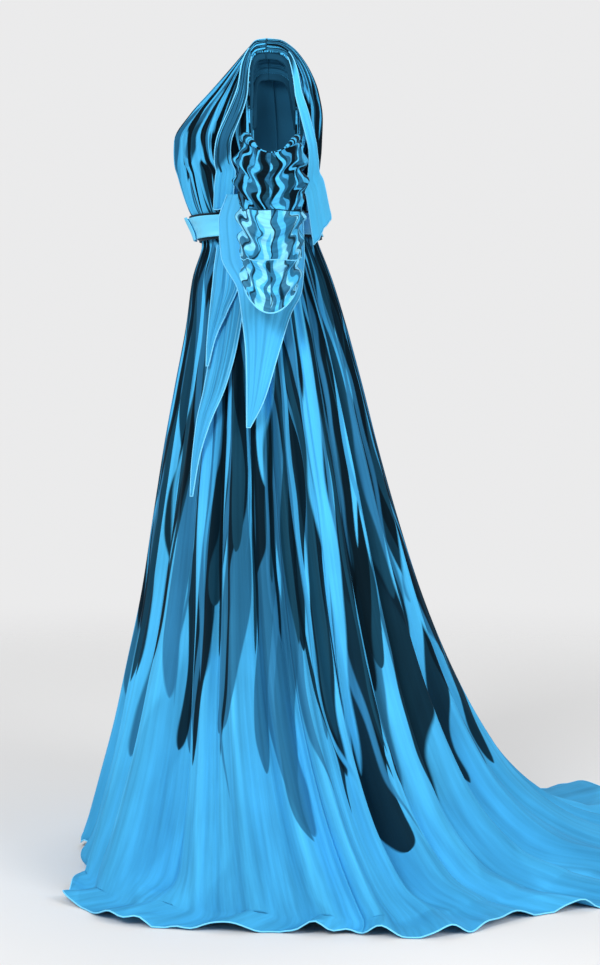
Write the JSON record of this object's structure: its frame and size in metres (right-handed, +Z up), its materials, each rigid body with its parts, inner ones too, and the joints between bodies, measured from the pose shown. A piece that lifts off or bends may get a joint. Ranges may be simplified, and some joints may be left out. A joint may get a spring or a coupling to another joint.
{
  "type": "evening gown",
  "caption": "Printed chiffon evening gown with a train, open shoulders, ruched elbow sleeves and a satin belt, filled out and hollow, with no wearer.",
  "frame": {"origin": "midway between the two shoulder straps, at the height of their tops, where the gown hangs from the wearer's shoulders", "axes": "+Z up, the wearer faces -Y, and the wearer's left side is at +X"},
  "size_m": [1.2627, 1.3839, 1.4375],
  "materials": {
    "printed_chiffon": "soft sheen, dark and teal tapered streaks on sky blue",
    "sheer_chiffon": "plain, pale and slightly sheer",
    "plain_lining": "plain matt weave",
    "dark_band": "plain, dark, soft sheen",
    "satin": "smooth satin"
  },
  "bodies": {
    "root": {"skirt_front": "printed_chiffon", "skirt_back_left": "printed_chiffon", "skirt_back_right": "printed_chiffon", "skirt_lining": "plain_lining", "drape_long_left": "printed_chiffon", "drape_long_right": "printed_chiffon", "drape_short_left": "printed_chiffon", "drape_short_right": "printed_chiffon", "bodice_front_left": "printed_chiffon", "bodice_front_right": "printed_chiffon", "bodice_back_left": "printed_chiffon", "bodice_back_right": "printed_chiffon", "waistband": "dark_band", "belt": "satin", "belt_loop": "satin", "sleeve_left": "printed_chiffon", "sleeve_right": "printed_chiffon", "sleeve_drape_left": "sheer_chiffon", "sleeve_drape_right": "sheer_chiffon", "flutter_front_left": "printed_chiffon", "flutter_back_left": "sheer_chiffon", "flutter_front_right": "printed_chiffon", "flutter_back_right": "sheer_chiffon"}
  },
  "joints": []
}
